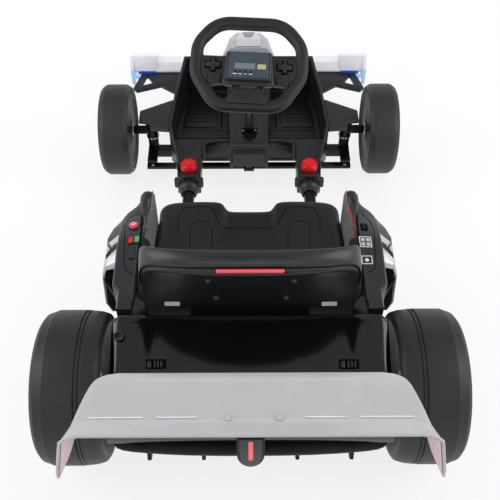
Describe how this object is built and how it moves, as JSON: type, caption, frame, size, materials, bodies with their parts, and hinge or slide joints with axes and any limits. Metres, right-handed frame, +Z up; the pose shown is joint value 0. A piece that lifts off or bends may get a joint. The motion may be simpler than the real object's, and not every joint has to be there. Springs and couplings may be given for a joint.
{
  "type": "electric drift kart",
  "caption": "Low single-seat child's drift kart: open front footwell, telescoping rails, bucket seat, wide smooth rear wheels, steered front wheels and a rear wing.",
  "frame": {"origin": "on the floor, midway along and across the kart", "axes": "+Y towards the nose, +X to the driver's right, +Z up"},
  "size_m": [0.796, 1.415, 0.5372],
  "materials": {
    "hard_tyre": "moulded",
    "front_tyre": "moulded",
    "slate_rim": "moulded",
    "black_plastic": "fine grain",
    "gloss_black": "polished",
    "red_plastic": "moulded",
    "red_lens": "clear red",
    "steel_paint": "powder coat",
    "steel": "zinc plated",
    "battery_case": "moulded",
    "grip_plastic": "soft touch",
    "clear_wing": "frosted clear",
    "pale_plastic": "moulded"
  },
  "bodies": {
    "chassis": {"axle_shield_left": "black_plastic", "axle_shield_right": "black_plastic", "battery_block": "battery_case", "bolster_left": "black_plastic", "bolster_right": "black_plastic", "brake_light": "red_lens", "charge_port": "black_plastic", "console_left": "black_plastic", "console_right": "black_plastic", "diffuser": "black_plastic", "drive_unit_left": "black_plastic", "drive_unit_right": "black_plastic", "front_axle_beam": "steel_paint", "front_tub": "black_plastic", "front_wing": "clear_wing", "nose_cone": "pale_plastic", "rail_collar_left": "black_plastic", "rail_collar_right": "black_plastic", "rail_knob_left": "red_plastic", "rail_knob_right": "red_plastic", "rail_left": "steel_paint", "rail_right": "steel_paint", "rear_axle": "steel", "rear_deck": "gloss_black", "rear_frame": "steel_paint", "rear_wing": "clear_wing", "seat_back": "black_plastic", "seat_back_rim": "black_plastic", "seat_base": "black_plastic", "side_pod_left": "black_plastic", "side_pod_right": "black_plastic", "tail_boss": "black_plastic", "wing_stay_left": "black_plastic", "wing_stay_right": "black_plastic", "wing_strut_left": "black_plastic", "wing_strut_right": "black_plastic"},
    "knuckle_left": {"knuckle_left": "steel_paint"},
    "knuckle_right": {"knuckle_right": "steel_paint"},
    "tie_bar": {"tie_bar": "steel_paint"},
    "steering": {"steering_column": "steel_paint", "steering_display": "gloss_black", "steering_wheel": "grip_plastic"},
    "wheel_front_left": {"tyre_front_left": "front_tyre", "rim_front_left": "slate_rim"},
    "wheel_front_right": {"tyre_front_right": "front_tyre", "rim_front_right": "slate_rim"},
    "wheel_rear_left": {"tyre_rear_left": "hard_tyre", "rim_rear_left": "black_plastic"},
    "wheel_rear_right": {"tyre_rear_right": "hard_tyre", "rim_rear_right": "black_plastic"}
  },
  "joints": [
    {"name": "steer", "type": "hinge", "parent": "chassis", "child": "steering", "pos_m": [0, 0.3515, 0.12], "axis": [0, -0.4695, 0.8829], "range_deg": [-20, 20]},
    {"name": "knuckle_left_turn", "type": "hinge", "parent": "chassis", "child": "knuckle_left", "pos_m": [-0.255, 0.3695, 0.11], "axis": [0, 0, 1], "range_deg": [-25.5, 25.5]},
    {"name": "knuckle_right_turn", "type": "hinge", "parent": "chassis", "child": "knuckle_right", "pos_m": [0.255, 0.3695, 0.11], "axis": [0, 0, 1], "range_deg": [-25.5, 25.5]},
    {"name": "tie_bar_turn", "type": "hinge", "parent": "knuckle_left", "child": "tie_bar", "pos_m": [-0.255, 0.3115, 0.041], "axis": [0, 0, 1], "range_deg": [-25.5, 25.5]},
    {"name": "front_left_spin", "type": "hinge", "parent": "knuckle_left", "child": "wheel_front_left", "pos_m": [-0.343, 0.3695, 0.1175], "axis": [1, 0, 0], "continuous": true},
    {"name": "front_right_spin", "type": "hinge", "parent": "knuckle_right", "child": "wheel_front_right", "pos_m": [0.343, 0.3695, 0.1175], "axis": [1, 0, 0], "continuous": true},
    {"name": "rear_left_spin", "type": "hinge", "parent": "chassis", "child": "wheel_rear_left", "pos_m": [-0.335, -0.4225, 0.15], "axis": [1, 0, 0], "continuous": true},
    {"name": "rear_right_spin", "type": "hinge", "parent": "chassis", "child": "wheel_rear_right", "pos_m": [0.335, -0.4225, 0.15], "axis": [1, 0, 0], "continuous": true}
  ],
  "couplings": [
    {"joint": "knuckle_left_turn", "follows": "steer", "ratio": 1.25},
    {"joint": "knuckle_right_turn", "follows": "steer", "ratio": 1.25},
    {"joint": "tie_bar_turn", "follows": "steer", "ratio": -1.25}
  ]
}
